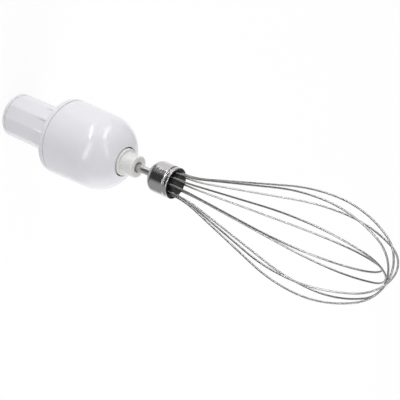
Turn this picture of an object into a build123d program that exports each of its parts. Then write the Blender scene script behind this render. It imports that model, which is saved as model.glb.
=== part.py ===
from build123d import *
from math import acos, asin, atan, cos, degrees, pi, radians, sin, tan
import os

# Whisk attachment of a hand-held immersion blender, with its own reduction gearbox.
# Millimetres and degrees. Z runs along the axis of rotation, from the open end of the
# sleeve (z = 0), which plugs into the motor unit, to the tip of the wire whisk.
# Order along Z: sleeve, collar, gearbox bell, nylon spigot, steel shaft, ferrule, wires.

# Clearances, each on the radius or on one face
press_gap = 0.01          # pressed together, never turns
seat_gap = 0.05           # dropped into its seat
running_gap = 0.05        # turns in its bore
end_float = 0.2           # play along the axis between parts that turn past each other

# Sleeve that plugs into the motor unit
sleeve_length = 44.2      # from its mouth to the collar
sleeve_across_flats = 28.8
sleeve_sides = 10
sleeve_turn = 8.0         # direction of the first flat
sleeve_wall = 2.0
guide_length = 14.6       # the mouth is bored wider to guide the motor unit's nose
guide_step = 0.2
bead_height = 0.45        # round lip at the mouth
bead_length = 2.0
bead_round = 0.8
neck_depth = 0.4          # shadow line behind the lip
neck_length = 0.7
gusset_length = 8.5       # small ramps on the corners next to the collar
gusset_width = 1.5
gusset_height = 0.8
flare_length = 2.2        # the sleeve widens where it meets the collar
flare_height = 1.5
sleeve_seat = 0.6         # the sleeve is let into the cover by this much

# Rear cover: collar, plate, bearing boss and register
collar_thickness = 4.2
collar_round = 1.3
shadow_gap_width = 1.0    # square groove where collar and bell meet, half of it in each
shadow_gap_depth = 0.9
cover_plate = 2.8
boss_wall = 2.3
boss_length = 9.0         # boss behind the collar, inside the sleeve
boss_ribs = 6
boss_rib_height = 4.5
rib_thickness = 1.6
register_wall = 2.2
register_length = 6.6

# Bell housing
bell_length = 26.9        # nearly straight skirt, from the joint to the start of the dome
bell_draft = 0.7          # the skirt loses this much radius on the way
dome_height = 21.3        # from the skirt to the edge of the nose hole
dome_flat = 3.0           # the dome is an ellipse with its middle this far off the axis
bell_wall = 2.0
nose_wall = 2.2
nose_gap = 0.8            # dark gap between the nose and the spigot
nose_boss_wall = 2.2
nose_boss_length = 13.0
stop_rib_height = 2.4     # ribs in the skirt that the ring gear sits against
stop_ribs = 6

# Gear train: sun, three planets and a fixed ring
gear_module = 0.8
sun_teeth = 12
planet_teeth = 18
planet_count = 3
addendum_share = 0.8      # of the module
dedendum_share = 1.125
pressure_angle = 20.0
tooth_play = 0.06         # taken off each flank
flank_steps = 3
ring_width = 12.0
ring_rim = 2.65           # solid rim outside the ring's tooth roots
ring_lugs = 3
lug_width = 6.0
lug_depth = 2.2
planet_width = 9.2
sun_width = 10.0
sun_hub_wall = 1.2
pin_diameter = 4.0
pin_head_rim = 1.2
pin_head_height = 0.8
carrier_rim = 5.6         # carrier outside the planets' axes
carrier_thickness = 3.6
carrier_inset = 1.0       # the carrier's back lies this deep in the ring gear
carrier_hub_wall = 3.0
carrier_hub_height = 8.4
carrier_window = 5.0

# Input side
input_diameter = 5.0
pilot_step = 0.5
pilot_length = 3.6
bush_wall = 2.0
bush_flange_rim = 2.0
bush_flange = 1.0
washer_thickness = 0.5
washer_rim = 3.0
clip_thickness = 0.6
clip_rim = 1.9
clip_groove_depth = 0.4
clip_opening = 3.2
coupling_wall = 3.4
coupling_length = 19.0
coupling_socket_flats = 7.2
coupling_socket_depth = 10.5
coupling_flutes = 6
flute_diameter = 3.0

# Output spigot, its bush and its seals
spigot_diameter = 14.4
spigot_length = 10.8      # part that stands out of the nose
spigot_shoulder = 1.8     # step from the spigot to its journal
spigot_step = 1.2         # the journal stands this proud of the nose
spigot_collar_rim = 1.6
spigot_collar = 2.6
spigot_hex = 12.0
spigot_edge_round = 0.7
output_bush_wall = 2.0
output_bush_length = 10.8
output_washer = 0.7
nose_seal = 1.6
joint_ring_section = 1.2

# Whisk shaft
shaft_diameter = 5.0
flat_depth = 0.4
flats_length = 7.4
shaft_in_spigot = 23.8
shaft_in_holder = 8.0
shaft_end_round = 0.5
socket_mouth_flare = 1.3
socket_mouth_depth = 2.5
snap_wire = 0.8
snap_from_face = 9.0

# Ferrule and wire holder
ferrule_gap = 12.7        # bare shaft between the spigot's face and the ferrule
ferrule_length = 17.6
ferrule_diameter = 20.4
ferrule_shoulder = 5.4
ferrule_wall = 0.8
ferrule_groove_back = 2.9
ferrule_groove_width = 1.5
ferrule_groove_depth = 0.55
ferrule_lip_round = 0.38
holder_back = 6.4         # space between the ferrule's back and the holder
holder_recess = 1.0       # the holder's face lies this deep in the ferrule's mouth
holder_stem = 2.0         # the grooved stem stands this far out of the mouth
stem_round = 0.8

# Wire loops
wire_diameter = 1.2
wire_inset = 2.1          # from the inside of the ferrule to the wires' centres
wire_proud = 0.3          # from the stem's surface to the wires' centres
leg_depth = 9.0           # length of the legs below the holder's face
straight_run = 1.3        # the legs stay straight this far past the holder's face
whisk_reach = 142.9       # from the ferrule's mouth to the tip of the shortest loop
tip_length = 40.4         # from the widest place to that tip
flare_overshoot = 1.33    # steepest slope of a leg over its mean slope
root_bend_share = 0.38
nose_share = 0.78         # radius of the round end over the loop's half width
# Half widths of the loops. Their tips lie past the shortest loop's, one wire over the other,
# so that the loops pass each other where they cross.
half_width_1 = 27.5
half_width_2 = 28.9
half_width_3 = 29.6
half_width_4 = 28.4
half_width_5 = 24.5
tip_lead_2 = 8.8
tip_lead_3 = 7.3
tip_lead_4 = 5.9
tip_lead_5 = 4.5
# One loop each: direction of its plane, half width, lead of its tip.
loops = (
    (-89.0, half_width_1, 0.0),
    (-49.0, half_width_2, tip_lead_2),
    (-13.0, half_width_3, tip_lead_3),
    (18.5, half_width_4, tip_lead_4),
    (56.0, half_width_5, tip_lead_5),
)

# Radii and diameters that follow, from the inside out
sleeve_bore = sleeve_across_flats - 2 * sleeve_wall
guide_bore = sleeve_bore + 2 * guide_step
bead_diameter = sleeve_across_flats + 2 * bead_height
neck_diameter = sleeve_across_flats - 2 * neck_depth
corner_r = sleeve_across_flats / 2 / cos(pi / sleeve_sides)
seat_r = corner_r + flare_height
addendum = addendum_share * gear_module
dedendum = dedendum_share * gear_module
ring_teeth = sun_teeth + 2 * planet_teeth
centre_distance = gear_module * (sun_teeth + planet_teeth) / 2
ring_outer_r = gear_module * ring_teeth / 2 + dedendum + ring_rim
bell_bore = 2 * (ring_outer_r + seat_gap)
bell_front_diameter = bell_bore + 2 * bell_wall
collar_diameter = bell_front_diameter + 2 * bell_draft
bush_outside = input_diameter + 2 * bush_wall
boss_outside = bush_outside + 2 * boss_wall
pilot_diameter = input_diameter - 2 * pilot_step
spigot_journal = spigot_diameter + 2 * spigot_shoulder
nose_hole = spigot_journal + 2 * nose_gap
bush_seat_r = spigot_journal / 2 + output_bush_wall
wire_r = wire_diameter / 2
leg_r = ferrule_diameter / 2 - ferrule_wall - wire_inset
stem_r = leg_r - wire_proud

# Stations along Z that follow from the sizes above
z_collar = sleeve_length
z_seat = z_collar + sleeve_seat
z_joint = z_collar + collar_thickness
z_dome = z_joint + bell_length
z_nose = z_dome + dome_height
z_boss_back = z_collar - boss_length
z_ring_back = z_joint + register_length + seat_gap
z_ring_front = z_ring_back + ring_width
z_carrier = z_ring_front - end_float - carrier_inset
z_planet_front = z_carrier - end_float * 2
z_planet_back = z_planet_front - planet_width
z_plate_front = z_collar + cover_plate
z_hub_front = z_carrier + carrier_thickness + carrier_hub_height
z_seal = z_nose - nose_wall - nose_seal
z_bush_front = z_seal - seat_gap
z_bush_back = z_bush_front - output_bush_length
z_spigot_collar = z_bush_back - end_float - output_washer - spigot_collar
z_spigot_face = z_nose + spigot_length
z_shaft_back = z_spigot_face - shaft_in_spigot
z_ferrule = z_spigot_face + ferrule_gap
z_mouth = z_ferrule + ferrule_length
z_holder_back = z_ferrule + holder_back
z_holder_face = z_mouth - holder_recess
z_stem = z_mouth + holder_stem
z_leg_end = z_holder_face - leg_depth
z_flare = z_holder_face + straight_run
z_belly = z_mouth + whisk_reach - tip_length


def ring_of(inner, outer, low, high):
    """A plain tube about Z between two heights; inner may be 0 for a disc."""
    solid = extrude(Plane.XY.offset(low) * Circle(outer), high - low)
    if inner > 0:
        solid = solid - extrude(Plane.XY.offset(low) * Circle(inner), high - low)
    return solid


def turned(points, rounds=()):
    """Solid of revolution about Z; points are (radius, height), rounds (radius, height, fillet)."""
    outline = make_face(Polyline(*points, close=True))
    for radius, height, size in rounds:
        corner = outline.vertices().sort_by_distance(Vector(radius, height, 0))[0]
        outline = fillet(corner, size)
    return revolve(Plane.XZ * outline, Axis.Z)


def around(shape, count, start=0.0):
    """The same shape repeated at equal angles about Z."""
    return [Rot(0, 0, start + 360 * i / count) * shape for i in range(count)]


def prism(sides, across_flats, low, high, turn=0.0):
    """A regular prism about Z, sized across its flats."""
    face = RegularPolygon(radius=across_flats / 2, side_count=sides, major_radius=False, rotation=turn)
    return extrude(Plane.XY.offset(low) * face, high - low)


def sleeve():
    """Ten-sided sleeve with a round lip, ramps on its corners and a round foot let into the cover."""
    bead_r = bead_diameter / 2
    core_r = sleeve_bore / 2 - 1
    neck_end = bead_length + neck_length
    body = turned(
        [(core_r, 0), (bead_r, 0), (bead_r, bead_length), (core_r, bead_length)],
        [(bead_r, 0, bead_round), (bead_r, bead_length, bead_round)],
    )
    body += ring_of(0, neck_diameter / 2, bead_length / 2, neck_end)
    turn = sleeve_turn + 180 / sleeve_sides
    body += prism(sleeve_sides, sleeve_across_flats, neck_end, z_collar, turn)
    body += turned(
        [
            (0, z_collar - flare_length),
            (sleeve_across_flats / 2, z_collar - flare_length),
            (seat_r, z_collar),
            (seat_r, z_seat),
            (0, z_seat),
        ]
    )
    gusset = Polyline(
        (sleeve_bore / 2 + sleeve_wall / 2, z_collar - gusset_length),
        (corner_r, z_collar - gusset_length),
        (corner_r + gusset_height, z_collar - gusset_length / 3),
        (corner_r + gusset_height, z_collar),
        (sleeve_bore / 2 + sleeve_wall / 2, z_collar),
        close=True,
    )
    ramp = extrude(Plane.XZ * make_face(gusset), gusset_width / 2, both=True)
    body += around(ramp, sleeve_sides, sleeve_turn + 180 / sleeve_sides)
    body -= ring_of(0, sleeve_bore / 2, 0, z_seat)
    return body - ring_of(0, guide_bore / 2, 0, guide_length)


def rear_cover():
    """Collar, plate, bearing boss and register, moulded in one piece."""
    collar_r = collar_diameter / 2
    register_r = bell_bore / 2 - seat_gap
    body = turned(
        [
            (0, z_collar),
            (collar_r, z_collar),
            (collar_r, z_joint - shadow_gap_width / 2),
            (collar_r - shadow_gap_depth, z_joint - shadow_gap_width / 2),
            (collar_r - shadow_gap_depth, z_joint),
            (0, z_joint),
        ],
        [(collar_r, z_collar, collar_round)],
    )
    body += ring_of(0, register_r, z_joint, z_joint + register_length)
    body -= ring_of(0, register_r - register_wall, z_plate_front, z_joint + register_length)
    body -= ring_of(0, seat_r + seat_gap, z_collar, z_seat)
    boss_r = boss_outside / 2
    body += ring_of(0, boss_r, z_boss_back, z_seat)
    rib_end = sleeve_bore / 2 - seat_gap
    rib = Pos((boss_r - boss_wall / 2 + rib_end) / 2, 0, z_seat - boss_rib_height / 2)
    rib *= Box(rib_end - boss_r + boss_wall / 2, rib_thickness, boss_rib_height)
    body += around(rib, boss_ribs, sleeve_turn + 90)
    body -= ring_of(0, bush_outside / 2, z_boss_back, z_plate_front)
    lug_cut = Pos(bell_bore / 2 - register_wall / 2, 0, z_ring_back)
    lug_cut *= Box(register_wall * 2, lug_width + 2 * seat_gap, 2 * (lug_depth + seat_gap))
    for cut in around(lug_cut, ring_lugs):
        body -= cut
    return body - joint_ring_groove()


def joint_ring_groove():
    """Groove for the sealing ring round the register."""
    outer = bell_bore / 2
    middle = z_joint + register_length / 3
    half = joint_ring_section / 2
    return ring_of(outer - seat_gap - 2 * half, outer + 1, middle - half, middle + half)


def joint_ring():
    """Rubber ring that seals the joint between collar and bell; it is squeezed square."""
    outer = bell_bore / 2 - press_gap
    middle = z_joint + register_length / 3
    half = joint_ring_section / 2 - press_gap
    section = [(outer - 2 * half, middle - half), (outer, middle - half)]
    section += [(outer, middle + half), (outer - 2 * half, middle + half)]
    return turned(section, [(r, z, half / 2) for r, z in section])


def dome_arc(side_r, rise, end_r):
    """Elliptic arc in side view, from the side radius to the end radius, and the height where it ends."""
    reach = side_r - dome_flat
    sweep = acos((end_r - dome_flat) / reach)
    arc = EllipticalCenterArc((dome_flat, z_dome), reach, rise, arc_size=degrees(sweep))
    return arc, z_dome + rise * sin(sweep)


def dome_rise():
    """Height of the whole ellipse whose edge at the nose hole lies at z_nose."""
    share = (nose_hole / 2 - dome_flat) / (bell_front_diameter / 2 - dome_flat)
    return dome_height / sin(acos(share))


def bell_cavity(grow=0.0):
    """Space inside the bell, from its open back to the inside of the nose."""
    side_r = bell_bore / 2 + grow
    arc, top = dome_arc(side_r, dome_rise() - nose_wall + grow, nose_hole / 2)
    edges = [
        Line((0, z_joint), (side_r, z_joint)),
        Line((side_r, z_joint), (side_r, z_dome)),
        arc,
        Line((nose_hole / 2, top), (0, top)),
        Line((0, top), (0, z_joint)),
    ]
    return revolve(Plane.XZ * make_face(edges), Axis.Z)


def bell_housing():
    """Gearbox bell: a drafted skirt that runs into a domed nose with a round hole."""
    hole_r = nose_hole / 2
    back_r = collar_diameter / 2
    front_r = bell_front_diameter / 2
    arc, _ = dome_arc(front_r, dome_rise(), hole_r)
    edges = [
        Line((0, z_joint), (back_r - shadow_gap_depth, z_joint)),
        Line((back_r - shadow_gap_depth, z_joint), (back_r - shadow_gap_depth, z_joint + shadow_gap_width / 2)),
        Line((back_r - shadow_gap_depth, z_joint + shadow_gap_width / 2), (back_r, z_joint + shadow_gap_width / 2)),
        Line((back_r, z_joint + shadow_gap_width / 2), (front_r, z_dome)),
        arc,
        Line((hole_r, z_nose), (0, z_nose)),
        Line((0, z_nose), (0, z_joint)),
    ]
    shell = revolve(Plane.XZ * make_face(edges), Axis.Z) - bell_cavity()
    boss_back = z_bush_back - end_float
    boss = ring_of(bush_seat_r, bush_seat_r + nose_boss_wall, boss_back, z_nose)
    rib_inner = bell_bore / 2 - stop_rib_height
    outline = Polyline(
        (rib_inner, z_ring_front + seat_gap),
        (bell_bore / 2 + 1, z_ring_front + seat_gap),
        (bell_bore / 2 + 1, z_nose),
        (bush_seat_r + nose_boss_wall / 4, z_nose),
        (bush_seat_r + nose_boss_wall / 4, z_nose - nose_boss_length / 2),
        (rib_inner, z_dome),
        close=True,
    )
    rib = extrude(Plane.XZ * make_face(outline), rib_thickness / 2, both=True)
    inside = bell_cavity(bell_wall / 3)
    shell += inside & boss
    for one in around(rib, stop_ribs, 180 / stop_ribs):
        shell += inside & one
    shell -= ring_of(0, bush_seat_r, boss_back, z_nose - nose_wall)
    return shell - ring_of(0, hole_r, z_bush_back, z_nose + 1)


def involute(angle):
    """Involute function of a pressure angle in radians."""
    return tan(angle) - angle


def tooth_outline(teeth, tip, root, thicken):
    """Closed involute gear outline with a tooth centred on +X; thicken widens each flank."""
    pitch_r = gear_module * teeth / 2
    base_r = pitch_r * cos(radians(pressure_angle))
    half_pitch = pi / (2 * teeth) + thicken / pitch_r
    start = max(base_r, root)
    radii = [start + (tip - start) * i / flank_steps for i in range(flank_steps + 1)]
    flank = []
    for radius in radii:
        half = half_pitch + involute(radians(pressure_angle)) - involute(acos(base_r / radius))
        flank.append((radius, half))
    if start > root:
        flank.insert(0, (root, flank[0][1]))
    points = []
    for tooth in range(teeth):
        centre = 2 * pi * tooth / teeth
        for radius, half in flank:
            points.append((radius * cos(centre - half), radius * sin(centre - half)))
        for radius, half in reversed(flank):
            points.append((radius * cos(centre + half), radius * sin(centre + half)))
    return make_face(Polyline(*points, close=True))


def spur_gear(teeth, low, high):
    """External gear about Z with a tooth on +X."""
    pitch_r = gear_module * teeth / 2
    outline = tooth_outline(teeth, pitch_r + addendum, pitch_r - dedendum, -tooth_play)
    return extrude(Plane.XY.offset(low) * outline, high - low)


def sun_pinion():
    """Small gear with a hub, pressed on the input shaft."""
    low = z_planet_front - sun_width
    gear = spur_gear(sun_teeth, low, z_planet_front)
    hub_back = z_plate_front + bush_flange + washer_thickness + 2 * end_float
    gear += ring_of(0, input_diameter / 2 + sun_hub_wall, hub_back, low)
    return gear - ring_of(0, input_diameter / 2 + press_gap, hub_back, z_planet_front)


def ring_gear():
    """Fixed internal gear, keyed to the rear cover by lugs on its back face."""
    pitch_r = gear_module * ring_teeth / 2
    spaces = tooth_outline(ring_teeth, pitch_r + dedendum, pitch_r - addendum, tooth_play)
    body = ring_of(0, ring_outer_r, z_ring_back, z_ring_front)
    lug = Pos(ring_outer_r - register_wall / 2, 0, z_ring_back)
    lug *= Box(2 * register_wall, lug_width, 2 * lug_depth)
    rim = ring_of(ring_outer_r - register_wall, ring_outer_r, z_ring_back - lug_depth, z_ring_front)
    for one in around(lug, ring_lugs):
        body += rim & one
    half_space = 180 / ring_teeth
    cut = extrude(Plane.XY.offset(z_ring_back) * (Rot(0, 0, half_space) * spaces), ring_width)
    return body - cut


def planet_place(index):
    """Direction of a planet's axis from the centre, in degrees."""
    return 90 + 360 * index / planet_count


def planet_gear(index):
    """Planet gear on its pin; a gap faces the sun and another faces the ring."""
    gear = spur_gear(planet_teeth, z_planet_back, z_planet_front)
    gear -= ring_of(0, pin_diameter / 2 + running_gap, z_planet_back, z_planet_front)
    turned_gear = Rot(0, 0, 180 / planet_teeth) * gear
    return Rot(0, 0, planet_place(index)) * Pos(centre_distance, 0, 0) * turned_gear


def planet_pin(index):
    """Headed steel pin, pressed into the carrier."""
    head_front = z_planet_back - end_float
    head_back = head_front - pin_head_height
    pin_r = pin_diameter / 2
    head_r = pin_r + pin_head_rim
    tip = z_carrier + carrier_thickness
    pin = turned(
        [(0, head_back), (head_r, head_back), (head_r, head_front), (pin_r, head_front), (pin_r, tip), (0, tip)],
        [(head_r, head_back, pin_head_height / 3)],
    )
    return Rot(0, 0, planet_place(index)) * Pos(centre_distance, 0, 0) * pin


def planet_carrier():
    """Disc that carries the planet pins, with a hub that drives the spigot."""
    top = z_carrier + carrier_thickness
    body = ring_of(0, centre_distance + carrier_rim, z_carrier, top)
    body += ring_of(0, spigot_hex / 2 + carrier_hub_wall, top, z_hub_front)
    for index in range(planet_count):
        at_pin = Rot(0, 0, planet_place(index)) * Pos(centre_distance, 0, 0)
        body -= at_pin * ring_of(0, pin_diameter / 2 + press_gap, z_carrier, top)
        between = Rot(0, 0, planet_place(index + 0.5)) * Pos(centre_distance, 0, 0)
        body -= between * ring_of(0, carrier_window / 2, z_carrier, top)
    body -= ring_of(0, pilot_diameter / 2 + running_gap, z_carrier, top)
    return body - prism(6, spigot_hex + 2 * seat_gap, top, z_hub_front)


def input_shaft():
    """Steel shaft from the coupling to the sun pinion, with a pilot tip and a clip groove."""
    low = z_coupling_back() + coupling_socket_depth + 1.0
    shaft_r = input_diameter / 2
    pilot_end = z_carrier + pilot_length
    shaft = turned(
        [(0, low), (shaft_r, low), (shaft_r, z_planet_front), (pilot_diameter / 2, z_planet_front),
         (pilot_diameter / 2, pilot_end), (0, pilot_end)],
        [(shaft_r, low, 0.4), (pilot_diameter / 2, pilot_end, 0.4)],
    )
    back, front = clip_span()
    return shaft - ring_of(shaft_r - clip_groove_depth, shaft_r + 1, back - seat_gap, front + seat_gap)


def clip_span():
    """Back and front of the circlip, just behind the bearing boss."""
    front = z_boss_back - end_float
    return front - clip_thickness, front


def input_circlip():
    """Open spring ring in the input shaft's groove."""
    back, front = clip_span()
    inner = input_diameter / 2 - clip_groove_depth + press_gap
    outer = input_diameter / 2 + clip_rim
    ring = ring_of(inner, outer, back, front)
    opening = Pos(outer, 0, (back + front) / 2)
    opening *= Box(2 * outer, clip_opening, 2 * clip_thickness)
    return ring - opening


def z_coupling_back():
    """Height of the input coupling's open end."""
    return clip_span()[0] - end_float - coupling_length


def input_coupling():
    """Moulded drive coupling: a hexagon socket for the motor's spindle and a bore for the shaft."""
    low = z_coupling_back()
    high = low + coupling_length
    outer = coupling_socket_flats / 2 + coupling_wall
    body = turned(
        [(0, low), (outer, low), (outer, high), (0, high)],
        [(outer, low, 1.2), (outer, high, 0.6)],
    )
    flute = Pos(outer + flute_diameter / 6, 0, 0) * ring_of(0, flute_diameter / 2, low, high - 4)
    for cut in around(flute, coupling_flutes, 30):
        body -= cut
    body -= prism(6, coupling_socket_flats, low, low + coupling_socket_depth)
    lead_in = turned(
        [(0, low), (coupling_socket_flats / 2 + 1.3, low), (coupling_socket_flats / 2 - 0.4, low + 1.7), (0, low + 1.7)]
    )
    body -= lead_in
    return body - ring_of(0, input_diameter / 2 + press_gap, low + coupling_socket_depth + 1.0, high)


def input_bush():
    """Flanged sintered bush in the cover's boss."""
    inner = input_diameter / 2 + running_gap
    outer = bush_outside / 2 - press_gap
    flange_r = bush_outside / 2 + bush_flange_rim
    flange_front = z_plate_front + bush_flange
    return turned(
        [(inner, z_boss_back), (outer, z_boss_back), (outer, z_plate_front), (flange_r, z_plate_front),
         (flange_r, flange_front), (inner, flange_front)],
    )


def input_washer():
    """Steel thrust washer between the bush and the pinion's hub."""
    low = z_plate_front + bush_flange + press_gap
    inner = input_diameter / 2
    return ring_of(inner + running_gap, inner + washer_rim, low, low + washer_thickness)


def output_bush():
    """Plain bush in the nose that carries the spigot."""
    inner = spigot_journal / 2 + running_gap
    return ring_of(inner, bush_seat_r - press_gap, z_bush_back, z_bush_front)


def output_washer_ring():
    """Thrust washer behind the output bush."""
    high = z_bush_back - press_gap
    outer = bush_seat_r - seat_gap
    return ring_of(spigot_journal / 2 + running_gap, outer, high - output_washer, high)


def nose_seal_ring():
    """Dark rubber ring that closes the gap round the spigot, under the nose."""
    inner = spigot_journal / 2 + running_gap
    outer = bush_seat_r - press_gap
    low = z_seal
    high = z_seal + nose_seal - press_gap
    lip = (outer - inner) / 3
    return turned(
        [(inner, low), (outer, low), (outer, high), (inner + lip, high), (inner, high - nose_seal / 3)],
    )


def output_spigot():
    """Natural nylon spigot: hexagon tail, thrust collar, journal and the socket for the whisk."""
    journal_r = spigot_journal / 2
    stem_r = spigot_diameter / 2
    collar_r = journal_r + spigot_collar_rim
    collar_front = z_spigot_collar + spigot_collar
    step = z_nose + spigot_step
    body = turned(
        [(0, z_spigot_collar), (collar_r, z_spigot_collar), (collar_r, collar_front), (journal_r, collar_front),
         (journal_r, step), (stem_r, step), (stem_r, z_spigot_face), (0, z_spigot_face)],
        [(journal_r, step, 0.45), (stem_r, z_spigot_face, spigot_edge_round)],
    )
    tail = prism(6, spigot_hex, z_carrier + carrier_thickness + seat_gap, z_spigot_collar)
    round_tail = ring_of(0, spigot_hex / 2, z_hub_front, z_spigot_collar)
    body += tail
    body += round_tail
    bore_r = shaft_diameter / 2 + running_gap
    flats_end = z_shaft_back + flats_length - end_float
    bore = ring_of(0, bore_r, flats_end, z_spigot_face)
    bottom = z_shaft_back - end_float
    keyed = ring_of(0, bore_r, bottom, flats_end)
    keyed &= Pos(0, 0, (bottom + flats_end) / 2) * Box(
        shaft_diameter * 2, shaft_diameter - 2 * flat_depth + 2 * running_gap, flats_end - bottom
    )
    mouth = turned(
        [(0, z_spigot_face - socket_mouth_depth), (bore_r, z_spigot_face - socket_mouth_depth),
         (shaft_diameter / 2 + socket_mouth_flare, z_spigot_face), (0, z_spigot_face)]
    )
    return body - bore - keyed - mouth


def snap_station():
    """Height of the middle of the snap ring's groove in the whisk shaft."""
    return z_spigot_face - snap_from_face


def whisk_shaft():
    """Polished steel shaft with two flats on its tail."""
    shaft_r = shaft_diameter / 2
    tip = z_holder_back + shaft_in_holder
    shaft = turned(
        [(0, z_shaft_back), (shaft_r, z_shaft_back), (shaft_r, tip), (0, tip)],
        [(shaft_r, z_shaft_back, shaft_end_round)],
    )
    flat_end = z_shaft_back + flats_length
    for side in (1, -1):
        cut = Pos(0, side * (2 * shaft_r - flat_depth), (z_shaft_back + flat_end) / 2)
        shaft -= cut * Box(4 * shaft_r, 2 * shaft_r, flat_end - z_shaft_back)
    middle = snap_station()
    groove = ring_of(shaft_r - snap_wire, shaft_r + 1, middle - snap_wire / 2 - press_gap,
                     middle + snap_wire / 2 + press_gap)
    return shaft - groove


def snap_ring():
    """Split wire ring in the shaft's groove, squeezed in as it is inside the socket."""
    middle = snap_station()
    ring_r = shaft_diameter / 2 - snap_wire / 2 + press_gap
    ring = Pos(0, 0, middle) * Torus(ring_r, snap_wire / 2 - press_gap)
    gap = Pos(ring_r, 0, middle) * Box(2 * snap_wire, 1.5, 2 * snap_wire)
    return ring - gap


def ferrule_edge(inset):
    """Side view of the cup's wall, moved inwards by inset: back, shoulder, side, groove, mouth."""
    radius = ferrule_diameter / 2 - inset
    bend = ferrule_shoulder - inset
    back = z_ferrule + inset
    groove = z_mouth - ferrule_groove_back
    half = ferrule_groove_width / 2
    hole_r = shaft_diameter / 2 + press_gap
    return [
        Line((hole_r, back), (radius - bend, back)),
        ThreePointArc(
            (radius - bend, back),
            (radius - bend + bend * sin(pi / 4), back + bend - bend * cos(pi / 4)),
            (radius, back + bend),
        ),
        Line((radius, back + bend), (radius, groove - half)),
        ThreePointArc((radius, groove - half), (radius - ferrule_groove_depth, groove), (radius, groove + half)),
        Line((radius, groove + half), (radius, z_mouth)),
    ]


def ferrule():
    """Deep-drawn steel cup with a rolled groove that locks the wire holder."""
    hole_r = shaft_diameter / 2 + press_gap
    outer_r = ferrule_diameter / 2
    edges = ferrule_edge(0) + ferrule_edge(ferrule_wall)
    edges += [
        Line((outer_r, z_mouth), (outer_r - ferrule_wall, z_mouth)),
        Line((hole_r, z_ferrule), (hole_r, z_ferrule + ferrule_wall)),
    ]
    outline = make_face(edges)
    lip = [v for v in outline.vertices() if abs(v.Y - z_mouth) < 0.001]
    return revolve(Plane.XZ * fillet(lip, ferrule_lip_round), Axis.Z)


def wire_holder():
    """Black plastic plug: a body crimped in the ferrule and a grooved stem for the wires."""
    body_r = ferrule_diameter / 2 - ferrule_wall - press_gap
    back = z_holder_back
    groove = z_mouth - ferrule_groove_back
    half = ferrule_groove_width / 2 + seat_gap
    depth = ferrule_groove_depth + seat_gap
    edges = [
        Line((0, back), (body_r, back)),
        Line((body_r, back), (body_r, groove - half)),
        ThreePointArc((body_r, groove - half), (body_r - depth, groove), (body_r, groove + half)),
        Line((body_r, groove + half), (body_r, z_holder_face)),
        Line((body_r, z_holder_face), (stem_r, z_holder_face)),
        Line((stem_r, z_holder_face), (stem_r, z_stem - stem_round)),
        Line((stem_r, z_stem - stem_round), (stem_r - stem_round, z_stem)),
        Line((stem_r - stem_round, z_stem), (0, z_stem)),
        Line((0, z_stem), (0, back)),
    ]
    plug = revolve(Plane.XZ * make_face(edges), Axis.Z)
    plug -= ring_of(0, shaft_diameter / 2 + press_gap, back, back + shaft_in_holder)
    for direction, _, _ in loops:
        for side in (0, 180):
            leg = ring_of(0, wire_r + press_gap, z_leg_end - press_gap, z_stem)
            plug -= Rot(0, 0, direction + side) * Pos(leg_r, 0, 0) * leg
    return plug


def whisk_loop(direction, half_width, tip_shift):
    """One spring-steel loop: straight legs, a gentle flare, a belly and a round end.

    The line is drawn in a plane through the axis, x along the axis and y away from it.
    It is a chain of tangent lines and arcs, the same forwards and backwards.
    """
    rise = half_width - leg_r
    run = z_belly - z_flare
    slope = flare_overshoot * atan(rise / run)
    bends = (run - rise / tan(slope)) / tan(slope / 2)
    straight = (rise - bends * (1 - cos(slope))) / sin(slope)
    root_bend = root_bend_share * bends
    belly_bend = bends - root_bend
    # The end is two circles: the side's radius follows from the nose's and the two half axes.
    reach = z_mouth + whisk_reach + tip_shift - wire_r - z_belly
    nose = nose_share * half_width
    side = (reach ** 2 + half_width ** 2 - 2 * reach * nose) / (2 * (half_width - nose))
    turn = asin((reach - nose) / (side - nose))
    angle = degrees(slope)
    sweep_angle = degrees(turn)

    path = [Line((z_leg_end, leg_r), (z_flare, leg_r))]
    path.append(JernArc(path[-1] @ 1, path[-1] % 1, root_bend, angle))
    path.append(PolarLine(path[-1] @ 1, straight, direction=path[-1] % 1))
    path.append(JernArc(path[-1] @ 1, path[-1] % 1, belly_bend, -angle))
    path.append(JernArc(path[-1] @ 1, path[-1] % 1, side, -sweep_angle))
    path.append(JernArc(path[-1] @ 1, path[-1] % 1, nose, -2 * (90 - sweep_angle)))
    path.append(JernArc(path[-1] @ 1, path[-1] % 1, side, -sweep_angle))
    path.append(JernArc(path[-1] @ 1, path[-1] % 1, belly_bend, -angle))
    path.append(PolarLine(path[-1] @ 1, straight, direction=path[-1] % 1))
    path.append(JernArc(path[-1] @ 1, path[-1] % 1, root_bend, angle))
    path.append(Line(path[-1] @ 1, (z_leg_end, -leg_r)))
    out = (cos(radians(direction)), sin(radians(direction)), 0)
    across = (-out[1], out[0], 0)
    loop_plane = Plane(origin=(0, 0, 0), x_dir=(0, 0, 1), z_dir=across)
    line = loop_plane * Wire(path)
    start = Plane(origin=line @ 0, z_dir=line % 0)
    return sweep(start * Circle(wire_r), path=line)


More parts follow.
